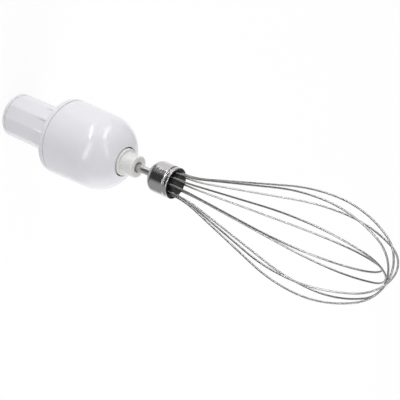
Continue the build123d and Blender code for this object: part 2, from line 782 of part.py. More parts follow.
parts = {
    "sleeve": sleeve(),
    "rear_cover": rear_cover(),
    "joint_ring": joint_ring(),
    "bell_housing": bell_housing(),
    "ring_gear": ring_gear(),
    "input_bush": input_bush(),
    "input_washer": input_washer(),
    "input_circlip": input_circlip(),
    "input_coupling": input_coupling(),
    "input_shaft": input_shaft(),
    "sun_pinion": sun_pinion(),
    "planet_carrier": planet_carrier(),
    "output_bush": output_bush(),
    "output_washer": output_washer_ring(),
    "nose_seal": nose_seal_ring(),
    "output_spigot": output_spigot(),
    "whisk_shaft": whisk_shaft(),
    "snap_ring": snap_ring(),
    "ferrule": ferrule(),
    "wire_holder": wire_holder(),
}
for number in range(planet_count):
    parts[f"planet_gear_{number + 1}"] = planet_gear(number)
    parts[f"planet_pin_{number + 1}"] = planet_pin(number)
for number, (direction, half_width, tip_shift) in enumerate(loops):
    parts[f"whisk_wire_{number + 1}"] = whisk_loop(direction, half_width, tip_shift)

os.makedirs("parts", exist_ok=True)
for name, shape in parts.items():
    export_step(shape, f"parts/{name}.step")
print("length", round(z_mouth + whisk_reach + max(tip for _, _, tip in loops), 1))
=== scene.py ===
# %% [markdown]
# # A whisk attachment in Blender
# The solids of this whisk attachment come from a CAD model. This lesson dresses them: it makes smooth surfaces
# where gloss would show the CAD mesh's facets, gives every piece a finish, and sets a small photo studio round them.
# Everything is in metres. Z runs along the axis of rotation: the sleeve's open end is at 0, the wires' tips at the top.

# %% Load the frame
import bmesh
import bpy
import numpy as np
from mathutils import Matrix, Vector


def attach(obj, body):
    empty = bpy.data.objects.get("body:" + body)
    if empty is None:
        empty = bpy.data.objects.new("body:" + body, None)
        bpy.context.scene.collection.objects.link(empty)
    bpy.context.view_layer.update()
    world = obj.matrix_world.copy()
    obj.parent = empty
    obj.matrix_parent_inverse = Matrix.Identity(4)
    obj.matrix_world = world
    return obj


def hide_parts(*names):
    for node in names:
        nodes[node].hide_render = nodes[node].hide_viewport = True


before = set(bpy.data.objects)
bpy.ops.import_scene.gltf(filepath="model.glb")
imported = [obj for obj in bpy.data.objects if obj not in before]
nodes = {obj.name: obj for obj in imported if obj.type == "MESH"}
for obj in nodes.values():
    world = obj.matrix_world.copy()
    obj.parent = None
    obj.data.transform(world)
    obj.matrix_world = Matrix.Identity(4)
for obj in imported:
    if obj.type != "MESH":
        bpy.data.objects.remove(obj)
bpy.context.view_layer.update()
MM = 0.001

# %% [markdown]
# ## The camera
# The photograph was taken from the front and a little above the spigot, with the part lying on its side.
# Here the part stands up, so the camera is the one that rolls. Its three axes are written as plain directions
# in the part's own frame, found once from the ellipses of the collar, the nose and the ferrule. The last fit moved
# it by half a pixel, left and up, which is what the small vector at the end of its place does.

# %% Camera
photo_right = Vector((-0.29593, 0.54485, 0.78458))
photo_up = Vector((-0.93844, -0.01259, -0.34522))
towards_camera = Vector((-0.17822, -0.83844, 0.51504))
half_pixel = 0.00027
camera_place = Vector((-0.11463, -0.55505, 0.49899)) + half_pixel * (photo_up - photo_right)
pixels_across, focal_pixels, sensor_mm = 400, 1100, 36.0
nearest, farthest = 0.01, 50

lens = bpy.data.cameras.new("photo_camera")
lens.sensor_width = sensor_mm
lens.lens = focal_pixels / pixels_across * sensor_mm
lens.clip_start, lens.clip_end = nearest, farthest
camera = bpy.data.objects.new("photo_camera", lens)
turn = Matrix((photo_right, photo_up, towards_camera)).transposed().to_4x4()
camera.matrix_world = Matrix.Translation(camera_place) @ turn
bpy.context.scene.collection.objects.link(camera)
bpy.context.scene.camera = camera
print("lens", round(lens.lens, 1), "mm")

# %% [markdown]
# ## Shader maths as Python
# A finish is easier to read as a formula than as a wall of nodes. `Val` wraps one output of a node:
# adding, multiplying or comparing two of them adds the Math node that does it. `Finish` holds one material
# and adds every other kind of node through a single method.

# %% Shader helpers
class Val:
    """A number that varies over a surface. Arithmetic on it adds Math nodes to its tree."""

    def __init__(self, tree, socket):
        self.tree = tree
        self.socket = socket

    def math(self, operation, *terms):
        """One Math node. A term that is a Val is linked, a plain number is set on the socket."""
        node = self.tree.nodes.new("ShaderNodeMath")
        node.operation = operation
        for slot, term in zip(node.inputs, terms):
            if isinstance(term, Val):
                self.tree.links.new(term.socket, slot)
            else:
                slot.default_value = term
        return Val(self.tree, node.outputs[0])

    def __add__(self, other):
        return self.math("ADD", self, other)

    def __sub__(self, other):
        return self.math("SUBTRACT", self, other)

    def __rsub__(self, other):
        return self.math("SUBTRACT", other, self)

    def __mul__(self, other):
        return self.math("MULTIPLY", self, other)

    __radd__ = __add__
    __rmul__ = __mul__

    def most(self, other):
        """The greater of two numbers."""
        return self.math("MAXIMUM", self, other)


# The Mix node's colour sockets share their names with its other sockets, so numbers tell them apart.
MIX_FIRST, MIX_SECOND, MIX_RESULT = 6, 7, 2


class Finish:
    """A node tree with one way to add a node: its type, its settings, then the values or links of its inputs."""

    def __init__(self, tree):
        self.tree = tree

    def node(self, kind, settings=None, inputs=None, out=0):
        made = self.tree.nodes.new(kind)
        for name, value in (settings or {}).items():
            setattr(made, name, value)
        for name, value in (inputs or {}).items():
            if isinstance(value, Val):
                self.tree.links.new(value.socket, made.inputs[name])
            else:
                made.inputs[name].default_value = value
        return Val(self.tree, made.outputs[out])

    def dot(self, vector, direction):
        """How far a vector points along a fixed direction."""
        return self.node(
            "ShaderNodeVectorMath", {"operation": "DOT_PRODUCT"}, {0: vector, 1: tuple(direction)}, "Value"
        )

    def step(self, value, low, high):
        """0 below low, 1 above high and a smooth rise between."""
        return self.node(
            "ShaderNodeMapRange", {"interpolation_type": "SMOOTHSTEP"},
            {"Value": value, "From Min": low, "From Max": high},
        )

    def blend(self, amount, first, second):
        """A colour between two colours."""
        colours = {"Factor": amount, MIX_FIRST: first, MIX_SECOND: second}
        return self.node("ShaderNodeMix", {"data_type": "RGBA"}, colours, MIX_RESULT)


def rgb(red, green, blue):
    """A colour socket wants a fourth number."""
    return (red, green, blue, 1.0)


def principled(name, colour, roughness, metallic=0.0, **constants):
    """A new material with a Principled shader. Constants are set on the shader's own sockets."""
    material = bpy.data.materials.new(name)
    material.use_nodes = True
    shader = material.node_tree.nodes["Principled BSDF"]
    shader.inputs["Base Color"].default_value = colour
    shader.inputs["Roughness"].default_value = roughness
    shader.inputs["Metallic"].default_value = metallic
    for socket, value in constants.items():
        shader.inputs[socket.replace("_", " ")].default_value = value
    finish = Finish(material.node_tree)
    finish.place = finish.node("ShaderNodeTexCoord", out="Object")
    return material, shader, finish


def plug(finish, value, shader, socket):
    """Links a varying value into one of the shader's sockets."""
    finish.tree.links.new(value.socket, shader.inputs[socket])


def bump(finish, height, strength, depth):
    """A Normal that leans as a surface of this height would. Depth is in metres."""
    return finish.node("ShaderNodeBump", None, {"Strength": strength, "Distance": depth, "Height": height}, "Normal")


# %% [markdown]
# ## Moulded white plastic
# The sleeve, collar and bell are glossy white mouldings. Such a surface is never perfectly even: the polish of
# the mould leaves a faint waviness that bends reflections a little, and handling leaves patches that are a touch
# less shiny. Both are noise at two sizes. The colour leans slightly to blue, as white plastic does. A noise's scale
# counts its features per metre.

# %% White plastic
tint_scale, wear_scale, wave_scale, grain_scale = 38.0, 160.0, 110.0, 2600.0
wear_share, wave_depth = 0.35, 0.0004


def noise(finish, scale, detail=2.0, rough=0.5, where=None):
    """Noise in object coordinates, or where told. Detail adds finer layers, rough makes them stronger."""
    return finish.node(
        "ShaderNodeTexNoise", {"noise_dimensions": "3D"},
        {"Vector": where or finish.place, "Scale": scale, "Detail": detail, "Roughness": rough}, "Fac",
    )


def moulding(name, colour, shade, gloss, wave, grain, **constants):
    """A moulded plastic: two tints mixed by broad noise, gloss that wanders, a soft wave and a fine grain."""
    material, shader, finish = principled(name, rgb(*colour), gloss, **constants)
    tint = noise(finish, tint_scale, 3.0)
    plug(finish, finish.blend(tint, rgb(*colour), rgb(*shade)), shader, "Base Color")
    wear = finish.step(noise(finish, wear_scale, 4.0, 0.6), 0.35, 0.8)
    plug(finish, gloss + gloss * wear_share * wear, shader, "Roughness")
    height = noise(finish, wave_scale, 1.0) * wave + noise(finish, grain_scale, 2.0) * grain
    plug(finish, bump(finish, height, 0.5, wave_depth), shader, "Normal")
    return material


white_plastic = moulding(
    "white_gloss_moulding", (0.80, 0.80, 0.835), (0.785, 0.785, 0.825), gloss=0.17, wave=0.5, grain=0.02,
    Specular_IOR_Level=0.5,
)

# %% [markdown]
# ## Natural nylon, black plastic and rubber
# The spigot is undyed nylon: milky, slightly warm, and light wanders through it before it leaves, which is
# what the subsurface setting does. The wire holder is black with a satin surface and a weak mirror. The seal is dull.

# %% Other plastics
milky_nylon = moulding(
    "milky_nylon", (0.785, 0.785, 0.77), (0.755, 0.755, 0.74), gloss=0.32, wave=0.3, grain=0.10,
    Subsurface_Weight=0.35, Subsurface_Radius=(1.0, 0.9, 0.75), Subsurface_Scale=0.0015,
)
black_plastic = moulding(
    "black_satin_moulding", (0.010, 0.010, 0.010), (0.016, 0.016, 0.016), gloss=0.34, wave=0.3, grain=0.15,
    Specular_IOR_Level=0.15,
)
dark_rubber = moulding(
    "dark_rubber", (0.045, 0.045, 0.047), (0.07, 0.07, 0.07), gloss=0.62, wave=0.4, grain=0.6
)
acetal = moulding("natural_acetal", (0.74, 0.735, 0.69), (0.70, 0.695, 0.65), gloss=0.38, wave=0.2, grain=0.15)

# %% [markdown]
# ## Turned and drawn steel
# The cup is drawn from sheet and polished while it spins, so its finest scratches run round it. A noise that
# changes quickly along Z and slowly across makes such lines. Polished steel is a little warm and not fully bright.

# %% Steels
across_scale, patch_scale, scratch_depth = 12.0, 220.0, 0.00002
duller = 0.95


def spun_steel(name, colour, roughness, lines, strength):
    """Steel polished on a lathe: rings of fine scratches about Z, lines of them per metre, some deeper than others."""
    material, shader, finish = principled(name, rgb(*colour), roughness, 1.0)
    stretched = finish.node(
        "ShaderNodeMapping", None,
        {"Vector": finish.place, "Scale": (across_scale, across_scale, lines)}, "Vector",
    )
    rings = noise(finish, 1.0, 5.0, 0.65, stretched)
    patches = noise(finish, patch_scale, 3.0)
    plug(finish, roughness * 0.85 + roughness * 0.3 * rings + patches * 0.04, shader, "Roughness")
    darker = tuple(channel * duller for channel in colour)
    plug(finish, finish.blend(rings, rgb(*colour), rgb(*darker)), shader, "Base Color")
    plug(finish, bump(finish, rings, strength, scratch_depth), shader, "Normal")
    return material


polished_cup = spun_steel("polished_cup_steel", (0.70, 0.685, 0.685), 0.15, lines=5000.0, strength=0.02)
ground_steel = spun_steel("ground_shaft_steel", (0.76, 0.745, 0.715), 0.26, lines=16000.0, strength=0.12)
bronze = spun_steel("oiled_bronze", (0.58, 0.42, 0.24), 0.34, lines=6000.0, strength=0.25)

# %% [markdown]
# ## Drawn wire
# Wire is pulled through a die, so its scratches run along it. No straight axis follows a bent wire, but the
# tube's own UV map does: U goes round the wire, V along it. Noise that is fine in U and long in V gives the lines.

# %% Wire finish
wire_map = "around_and_along"
lines_around, lines_along, dull_scale = 22.0, 5.0, 60.0


def drawn_wire(name, colour, roughness):
    """Drawn steel wire: fine lines along the wire, and patches that are a little duller."""
    material, shader, finish = principled(name, rgb(*colour), roughness, 1.0)
    along = finish.node("ShaderNodeUVMap", {"uv_map": wire_map}, out="UV")
    stretched = finish.node(
        "ShaderNodeMapping", None, {"Vector": along, "Scale": (lines_around, lines_along, 1.0)}, "Vector"
    )
    lines = noise(finish, 1.0, 4.0, 0.6, stretched)
    dull = noise(finish, dull_scale, 3.0)
    plug(finish, roughness * 0.8 + roughness * 0.5 * lines + dull * 0.08, shader, "Roughness")
    darker = tuple(channel * duller for channel in colour)
    plug(finish, finish.blend(lines, rgb(*colour), rgb(*darker)), shader, "Base Color")
    plug(finish, bump(finish, lines, 0.04, scratch_depth), shader, "Normal")
    return material


wire_steel = drawn_wire("drawn_wire_steel", (0.56, 0.555, 0.55), 0.31)

# %% [markdown]
# ## Surfaces from formulas
# Every new surface here is a stack of closed rings of points. Neighbouring rings are joined by quads, worked out
# for the whole grid at once. A ring that has shrunk to one point becomes a pole, closed with triangles.

# %% Surface helpers
sharp_degrees = 38


def build(name, points, faces, material, uv=None):
    """A smooth-shaded mesh object from points in millimetres and a list of index arrays."""
    mesh = bpy.data.meshes.new(name)
    mesh.vertices.add(len(points))
    mesh.vertices.foreach_set("co", (np.asarray(points) * MM).ravel())
    sizes = np.concatenate([np.full(len(f), f.shape[1]) for f in faces])
    corners = np.concatenate([f.ravel() for f in faces])
    mesh.loops.add(len(corners))
    mesh.loops.foreach_set("vertex_index", corners)
    mesh.polygons.add(len(sizes))
    mesh.polygons.foreach_set("loop_start", np.concatenate([[0], np.cumsum(sizes)[:-1]]))
    mesh.polygons.foreach_set("use_smooth", np.ones(len(sizes), bool))
    mesh.update(calc_edges=True)
    if uv is not None:
        layer = mesh.uv_layers.new(name=wire_map)
        layer.data.foreach_set("uv", uv[corners].ravel())
    mesh.validate()
    mesh.set_sharp_from_angle(angle=np.radians(sharp_degrees))
    mesh.materials.append(material)
    made = bpy.data.objects.new(name, mesh)
    bpy.context.scene.collection.objects.link(made)
    return made


def skin(name, rings, material, closed=False, uv=None):
    """Joins rings (rows, columns, xyz). Closed joins the last row to the first, as for a tube bent into a ring.

    The signed volume of the quads, a sum of triple products, tells which way they face; they are turned if inward.
    """
    rows, columns, _ = rings.shape
    flat = rings.reshape(-1, 3)
    grid = np.arange(rows * columns).reshape(rows, columns)
    upper = np.roll(grid, -1, axis=0) if closed else grid[1:]
    lower = grid if closed else grid[:-1]
    quads = np.stack([lower, np.roll(lower, -1, 1), np.roll(upper, -1, 1), upper], axis=-1).reshape(-1, 4)
    faces = [quads]
    if not closed:
        caps = []
        for row, step in ((0, 1), (rows - 1, -1)):
            pole = len(flat)
            flat = np.vstack([flat, rings[row].mean(0)])
            ring = grid[row][::step]
            caps.append(np.stack([np.full(columns, pole), np.roll(ring, -1), ring], axis=-1))
        faces.append(np.vstack(caps))
        if uv is not None:
            uv = np.vstack([uv, uv[:1], uv[-1:]])
    a, b, c, d = (flat[quads[:, k]] for k in range(4))
    volume = np.einsum("ij,ij->", a, np.cross(b, c)) + np.einsum("ij,ij->", a, np.cross(c, d))
    if volume < 0:
        faces = [f[:, ::-1] for f in faces]
    return build(name, flat, faces, material, uv)


spare_share = 0.12


def outline(corners, steps=7):
    """A side view as points (radius, height) from corners (radius, height, rounding).

    Each corner with a rounding becomes an arc: the tangent points lie rounding * tan(turn / 2) before and after it.
    One extra point just outside each arc keeps the shading of long flat stretches flat.
    """
    corners = [tuple(c) + (0.0,) * (3 - len(c)) for c in corners]
    out = []
    for before, here, after in zip([None] + corners[:-1], corners, corners[1:] + [None]):
        point, rounding = np.array(here[:2]), here[2]
        if rounding <= 0 or before is None or after is None:
            out.append(point[None])
            continue
        back = np.array(before[:2]) - point
        ahead = np.array(after[:2]) - point
        back, ahead = back / np.linalg.norm(back), ahead / np.linalg.norm(ahead)
        half = np.arccos(np.clip(back @ ahead, -1, 1)) / 2
        reach = rounding / np.tan(half)
        centre = point + (back + ahead) / np.linalg.norm(back + ahead) * rounding / np.sin(half)
        first, last = point + back * reach - centre, point + ahead * reach - centre
        sweep = np.arctan2(first[0] * last[1] - first[1] * last[0], first @ last)
        angles = np.arctan2(first[1], first[0]) + sweep * np.linspace(0, 1, steps)
        arc = centre + rounding * np.stack([np.cos(angles), np.sin(angles)], -1)
        spare = spare_share * rounding
        out.append(np.vstack([point + back * (reach + spare), arc, point + ahead * (reach + spare)]))
    return np.vstack(out)


def spin(name, side, material, around=192, closed=False):
    """A surface of revolution: each point (r, z) of the side view becomes a ring (r cos t, r sin t, z)."""
    t = np.linspace(0, 2 * np.pi, around, endpoint=False)
    r, z = side[:, :1], side[:, 1:]
    rings = np.stack([r * np.cos(t), r * np.sin(t), z + 0 * t], axis=-1)
    return skin(name, rings, material, closed)


# %% [markdown]
# ## Sleeve and collar
# The ten-sided sleeve has a round lip and small ramps on its corners. Its flats keep the attachment from turning
# in the motor unit. Its surface is one function of the angle and of the place along the side view: round rings
# nearly everywhere, ten-sided ones on the sleeve. The collar is a plain turned shape with a bearing boss inside.

# %% Sizes of sleeve and collar, in millimetres
flats = 10
flat_r = 14.4
first_flat = np.radians(8.0)
corner_ease, corner_sharpness = 0.13, 18
bead_r, bead_z, bead_round, neck_r, neck_z, neck_round = 14.85, 2.0, 0.8, 14.0, 2.7, 0.25
bore_r, guide_r, guide_z, guide_round = 12.4, 12.6, 14.6, 0.3
ramp_length, ramp_rise, ramp_height, ramp_half_width, ramp_edge = 17.0, 9.0, 1.0, 0.85, 0.07
flare_length, seat_r, seat_z, seat_play = 2.2, 16.64, 44.8, 0.05
z_collar, z_joint, z_plate, z_register = 44.2, 48.4, 47.0, 55.0
collar_r, collar_round, register_r, register_wall = 25.5, 1.3, 22.75, 2.2
boss_r, boss_bore, z_boss = 6.8, 4.5, 35.2
gap_half, gap_depth, gap_round = 0.5, 0.9, 0.3
sector = 2 * np.pi / flats
hair = 0.1


def ten_sided(angle, ease=corner_ease, sharpness=corner_sharpness):
    """Radius of a regular prism with eased corners: a smooth minimum of the flat and a circle near the corner.

    The flat lies at flat_r / cos(off), where off is the angle from its middle. The circle is ease inside the corner.
    """
    off = np.mod(angle - first_flat + sector / 2, sector) - sector / 2
    flat = flat_r / np.cos(off)
    circle = flat_r / np.cos(sector / 2) - ease
    return circle - (np.logaddexp(0, (circle - flat) * sharpness) - np.log(2)) / sharpness


def ramp(angle, z):
    """Height of the ten ramps: a narrow ridge on each corner that rises towards the collar."""
    off = (np.mod(angle - first_flat, sector) - sector / 2) * flat_r
    across = 1 / (1 + np.exp((np.abs(off) - ramp_half_width) / ramp_edge))
    along = np.clip((z - (z_collar - ramp_length)) / ramp_rise, 0, 1)
    return ramp_height * across * along


# %% Sleeve
around_sleeve = np.linspace(0, 2 * np.pi, 720, endpoint=False)
z_ramp, z_flare_foot = z_collar - ramp_length, z_collar - flare_length
sleeve_z = np.concatenate([
    np.linspace(neck_z + 0.02, z_ramp - hair, 10),
    np.linspace(z_ramp, z_flare_foot - hair, 20),
    np.linspace(z_flare_foot, z_collar - 0.15, 10),
])[:, None]
flared = flat_r + (seat_r - flat_r) * np.clip((sleeve_z - z_flare_foot) / flare_length, 0, 1)
sleeve_r = np.maximum(ten_sided(around_sleeve) + ramp(around_sleeve, sleeve_z), flared)
mouth = outline([
    (bore_r, seat_z), (bore_r, guide_z), (guide_r, guide_z), (guide_r, 0, guide_round), (bead_r, 0, bead_round),
    (bead_r, bead_z, bead_round), (neck_r, bead_z, neck_round), (neck_r, neck_z - hair),
])
foot = outline([(seat_r, z_collar), (seat_r, seat_z)])


def rings_of(side, angle):
    """Rings of a side view of points (radius, height)."""
    return np.stack([side[:, :1] * np.cos(angle), side[:, :1] * np.sin(angle), side[:, 1:] + 0 * angle], -1)


wall = np.stack([
    sleeve_r * np.cos(around_sleeve), sleeve_r * np.sin(around_sleeve), sleeve_z + 0 * around_sleeve,
], -1)
sleeve = skin(
    "sleeve_moulding",
    np.concatenate([rings_of(mouth, around_sleeve), wall, rings_of(foot, around_sleeve)]),
    white_plastic, closed=True,
)
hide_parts("sleeve")
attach(sleeve, "housing")

# %% Collar
collar_in, register_in, gap_r = seat_r + seat_play, register_r - register_wall, collar_r - gap_depth
collar = spin("collar_moulding", outline([
    (boss_bore, z_plate), (boss_bore, z_boss), (boss_r, z_boss, 0.3), (boss_r, seat_z, 0.5), (collar_in, seat_z),
    (collar_in, z_collar, 0.15), (collar_r, z_collar, collar_round), (collar_r, z_joint - gap_half, gap_round),
    (gap_r, z_joint - gap_half), (gap_r, z_joint), (register_r, z_joint), (register_r, z_register),
    (register_in, z_register), (register_in, z_plate),
]), white_plastic, around=288, closed=True)
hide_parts("rear_cover")
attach(collar, "housing")
print("sleeve", len(sleeve.data.polygons), "faces, collar", len(collar.data.polygons))

# %% [markdown]
# Six webs tie the bearing boss to the sleeve's wall, deep inside. They are seen only from behind, so each is a
# plain slab with softened edges: a ring of eight points, stacked along the web's depth.

# %% Webs in the sleeve
webs, first_web, web_half, web_z, web_sink = 6, 98, 0.8, 40.3, 0.5


def slab(low, high, angle, edge=0.15, rows=5):
    """A block from corner low to corner high in millimetres, turned about Z, with its long edges cut at 45 degrees."""
    x0, y0, z0 = low
    x1, y1, z1 = high
    e = edge
    xs = np.array([x0, x0, x0 + e, x1 - e, x1, x1, x1 - e, x0 + e])
    ys = np.array([y1 - e, y0 + e, y0, y0, y0 + e, y1 - e, y1, y1])
    z = np.linspace(z0, z1, rows)
    c, s = np.cos(angle), np.sin(angle)
    return np.stack([xs * c - ys * s + 0 * z[:, None], xs * s + ys * c + 0 * z[:, None], z[:, None] + 0 * xs], -1)


for number in range(webs):
    low = (boss_r - web_sink, -web_half, web_z)
    high = (bore_r - seat_play, web_half, seat_z + 0.2)
    web = slab(low, high, np.radians(first_web + 360 / webs * number))
    web = skin(f"sleeve_web_{number + 1}", web, white_plastic)
    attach(web, "housing")

# %% [markdown]
# ## The bell
# The bell is a skirt with a slight draft, so that it leaves its mould, and a dome that is part of an ellipse.
# The edge of the nose hole is just broken, and the joint edge is stepped back: with the collar's own step that
# makes the fine dark groove seen in the photograph.

# %% Bell
z_dome, z_nose, z_seat, hole_r, bush_r = 75.3, 96.6, 94.4, 9.8, 11.0
front_r, cavity_r, dome_flat, dome_wall = 24.8, 22.8, 3.0, 2.2
nose_round, nose_edge = 0.2, 0.4
skirt_foot = z_joint + gap_half
rise = (z_nose - z_dome) / np.sin(np.arccos((hole_r - dome_flat) / (front_r - dome_flat)))


def dome_arc(side_r, rise, end_r, steps=48):
    """Points from the skirt to the radius end_r on an ellipse whose middle lies dome_flat off the axis."""
    angle = np.linspace(0, np.arccos((end_r - dome_flat) / (side_r - dome_flat)), steps)
    return np.stack([dome_flat + (side_r - dome_flat) * np.cos(angle), z_dome + rise * np.sin(angle)], -1)


skirt_z = np.linspace(skirt_foot + 0.6, z_dome - 0.3, 14)
drafted = collar_r - (collar_r - front_r) * (skirt_z - skirt_foot) / (z_dome - skirt_foot)
skirt = np.stack([drafted, skirt_z], -1)
bell_side = np.concatenate([
    outline([
        (cavity_r, z_joint), (gap_r, z_joint), (gap_r, skirt_foot), (collar_r, skirt_foot, gap_round),
        tuple(skirt[0]),
    ])[:-1],
    skirt, dome_arc(front_r, rise, hole_r)[:-1],
    outline([
        (hole_r + nose_edge, z_nose - 0.05), (hole_r, z_nose, nose_round), (hole_r, z_seat, nose_round),
        (bush_r - hair, z_seat),
    ]),
    dome_arc(cavity_r, rise - dome_wall, bush_r)[::-1], [(cavity_r, z_dome - 1), (cavity_r, z_joint + 1)],
])
bell = spin("bell_moulding", bell_side, white_plastic, around=288, closed=True)
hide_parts("bell_housing")
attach(bell, "housing")
print("bell", len(bell.data.polygons), "faces")

# %% [markdown]
# ## Spigot and seal
# The spigot stands in the nose with a thin dark gap round it. Its mouth is countersunk to guide the shaft in.
# The seal lies under the nose and is seen only as the darkness in the gap.

# %% Spigot and seal
tail_r, thrust_r, journal_r, spigot_r = 6.0, 10.6, 9.0, 7.2
z_tail, z_thrust, z_journal, z_flange, z_mouth_end = 69.5, 78.45, 81.05, 97.8, 107.4
socket_r, z_socket, mouth_r, z_throat = 2.55, 83.5, 3.8, 104.9
edge_round, flange_round, mouth_round = 0.2, 0.45, 0.7
spigot_side = outline([
    (tail_r, z_tail), (tail_r, z_thrust), (thrust_r, z_thrust, edge_round), (thrust_r, z_journal, edge_round),
    (journal_r, z_journal), (journal_r, z_flange, flange_round), (spigot_r, z_flange, 0.12),
    (spigot_r, z_mouth_end, mouth_round), (mouth_r, z_mouth_end, edge_round), (socket_r, z_throat, edge_round),
    (socket_r, z_socket),
])
spigot = spin("spigot_moulding", spigot_side, milky_nylon, around=160)
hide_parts("output_spigot")
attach(spigot, "carrier")
seal_in, seal_out, seal_low, seal_high = 9.05, 10.98, 92.8, 94.38
seal_side = outline([
    (seal_in, seal_low), (seal_out, seal_low, edge_round), (seal_out, seal_high, edge_round), (9.7, seal_high),
    (seal_in, 93.85),
])
seal = spin("nose_seal_ring", seal_side, dark_rubber, around=120, closed=True)
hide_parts("nose_seal")
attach(seal, "housing")

# %% [markdown]
# ## The shaft
# A ground 5 mm shaft. Its tail has two flats, hidden in the spigot until the whisk is pulled out, and a groove
# for the snap ring. The flats are made by limiting Y: a point (r cos t, r sin t) is pushed in to plus or minus 2.1.
# Extra rows along the tail keep the limited part smooth, with two of them close together where the flats end.

# %% Shaft
shaft_r, flat_half, z_flats, ring_groove_r = 2.5, 2.1, 91.0, 1.7
z_shaft, z_ring, ring_width, z_shaft_end = 83.6, 98.0, 0.8, 134.5
shaft_side = outline([
    (shaft_r - 0.5, z_shaft), (shaft_r, z_shaft + 0.5, 0.1), (shaft_r, z_ring - 0.02), (ring_groove_r, z_ring),
    (ring_groove_r, z_ring + ring_width), (shaft_r, z_ring + ring_width + 0.02), (shaft_r, z_shaft_end, 0.2),
    (shaft_r - 0.3, z_shaft_end),
], 4)
extra_z = np.concatenate([np.linspace(85, 97, 8), [z_flats - 0.05, z_flats + 0.05]])
shaft_side = np.vstack([shaft_side, np.stack([np.full(len(extra_z), shaft_r), extra_z], -1)])
shaft_side = shaft_side[np.argsort(shaft_side[:, 1], kind="stable")]
turn96 = np.linspace(0, 2 * np.pi, 96, endpoint=False)
x = shaft_side[:, :1] * np.cos(turn96)
y = shaft_side[:, :1] * np.sin(turn96)
y = np.where(shaft_side[:, 1:] < z_flats, np.clip(y, -flat_half, flat_half), y)
shaft = skin("whisk_shaft_ground", np.stack([x, y, shaft_side[:, 1:] + 0 * x], -1), ground_steel)
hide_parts("whisk_shaft")
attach(shaft, "whisk")

# %% [markdown]
# ## The cup
# The ferrule is drawn from thin steel: a flat back, a generous shoulder, a straight wall, and a rolled groove that
# locks the plastic plug. The lip after the groove is what catches the brightest highlights.

# %% Cup
z_cup, z_mouth, cup_r, shoulder, cup_wall = 120.1, 137.7, 10.2, 5.4, 0.8
groove_z, groove_half, groove_depth = z_mouth - 2.9, 0.85, 0.55
lip_wall, lip_round, z_lip_foot, z_lip_step = 0.5, 0.44, 136.3, 135.9
arc = np.linspace(-np.pi / 2, 0, 22)
groove = np.linspace(0, 2 * np.pi, 19)
inside_r, inside_shoulder = cup_r - cup_wall, shoulder - cup_wall
outer = np.vstack([
    outline([(shaft_r + 0.01, z_cup + cup_wall), (shaft_r + 0.01, z_cup, 0.15), (4.0, z_cup)]),
    np.stack([cup_r - shoulder + shoulder * np.cos(arc), z_cup + shoulder + shoulder * np.sin(arc)], -1),
    np.stack([np.full(6, cup_r), np.linspace(z_cup + shoulder + 0.4, groove_z - 1.0, 6)], -1),
    np.stack([
        cup_r - groove_depth / 2 * (1 - np.cos(groove)), groove_z + groove_half * (groove - np.pi) / np.pi,
    ], -1),
    outline([
        (cup_r, groove_z + 1.3), (cup_r, z_mouth, lip_round), (cup_r - lip_wall, z_mouth, 0.04),
        (cup_r - lip_wall, z_lip_foot),
    ]),
])
inner_cup = np.vstack([
    [(inside_r, z_lip_step)], [(inside_r - groove_depth, groove_z)], [(inside_r, groove_z - 1)],
    [(inside_r, z_cup + shoulder)],
    np.stack([
        cup_r - shoulder + inside_shoulder * np.cos(arc[::-3]),
        z_cup + shoulder + inside_shoulder * np.sin(arc[::-3]),
    ], -1),
])
cup = spin("drawn_cup", np.vstack([outer, inner_cup]), polished_cup, around=224, closed=True)
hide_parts("ferrule")
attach(cup, "whisk")

# %% [markdown]
# ## The wire holder
# A black plug with a stem. Ten grooves in the stem hold the wires, half sunk. In a section through the stem the
# radius is the stem's own, except within a groove, where it is the near side of the wire's circle.

# %% Loops: direction of each plane, half width, lead of its tip over the shortest loop's
loops = ((-89.0, 27.5, 0.0), (-49.0, 28.9, 8.8), (-13.0, 29.6, 7.3), (18.5, 28.4, 5.9), (56.0, 24.5, 4.5))
wire_r, leg_r, groove_r, widest_groove = 0.6, 7.3, 0.65, 0.3
stem_r, cap_r, z_face, z_stem, stem_round = 7.0, 5.5, 136.7, 139.7, 0.8
legs = np.radians(np.array([[direction, direction + 180] for direction, _, _ in loops]).ravel())
t = np.linspace(0, 2 * np.pi, 1440, endpoint=False)
off = np.abs(np.mod(t[:, None] - legs[None] + np.pi, 2 * np.pi) - np.pi).min(1)
inside_groove = leg_r * np.sin(np.minimum(off, widest_groove)) < groove_r
near_side = leg_r * np.cos(off) - np.sqrt(np.maximum(groove_r**2 - (leg_r * np.sin(off)) ** 2, 0))
stem_outline = np.where(inside_groove, np.minimum(near_side, stem_r), stem_r)

# %% Wire holder
plug_side_r, plug_face_r, waist_r, z_plug = 9.39, 9.66, 8.8, 126.5
plug_rows = outline([
    (plug_side_r, z_plug), (plug_side_r, groove_z - 1.1), (waist_r, groove_z), (plug_side_r - 0.04, z_lip_step),
    (plug_face_r, z_lip_foot + 0.1), (plug_face_r, z_face, 0.15), (stem_r + 0.6, z_face),
], 4)
plug_r = np.broadcast_to(plug_rows[:, :1], (len(plug_rows), len(t)))
straight_z = z_face + np.array([0, 0.12, 0.5, 1.2])
eased = np.linspace(0, np.pi / 2, 7)
stem_z = np.concatenate([straight_z, z_stem - stem_round * (1 - np.sin(eased))])
shrink = np.concatenate([np.zeros(len(straight_z)), stem_round * (1 - np.cos(eased))])
stem_rows = np.minimum(stem_outline[None], stem_r - shrink[:, None])
rows = np.vstack([plug_r, stem_rows, np.minimum(stem_outline, cap_r)[None]])
heights = np.concatenate([plug_rows[:, 1], stem_z, [z_stem]])
holder = np.stack([rows * np.cos(t), rows * np.sin(t), heights[:, None] + 0 * t], -1)
holder = skin("wire_plug", holder, black_plastic)
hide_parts("wire_holder")
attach(holder, "whisk")
print("holder", len(holder.data.polygons), "faces")

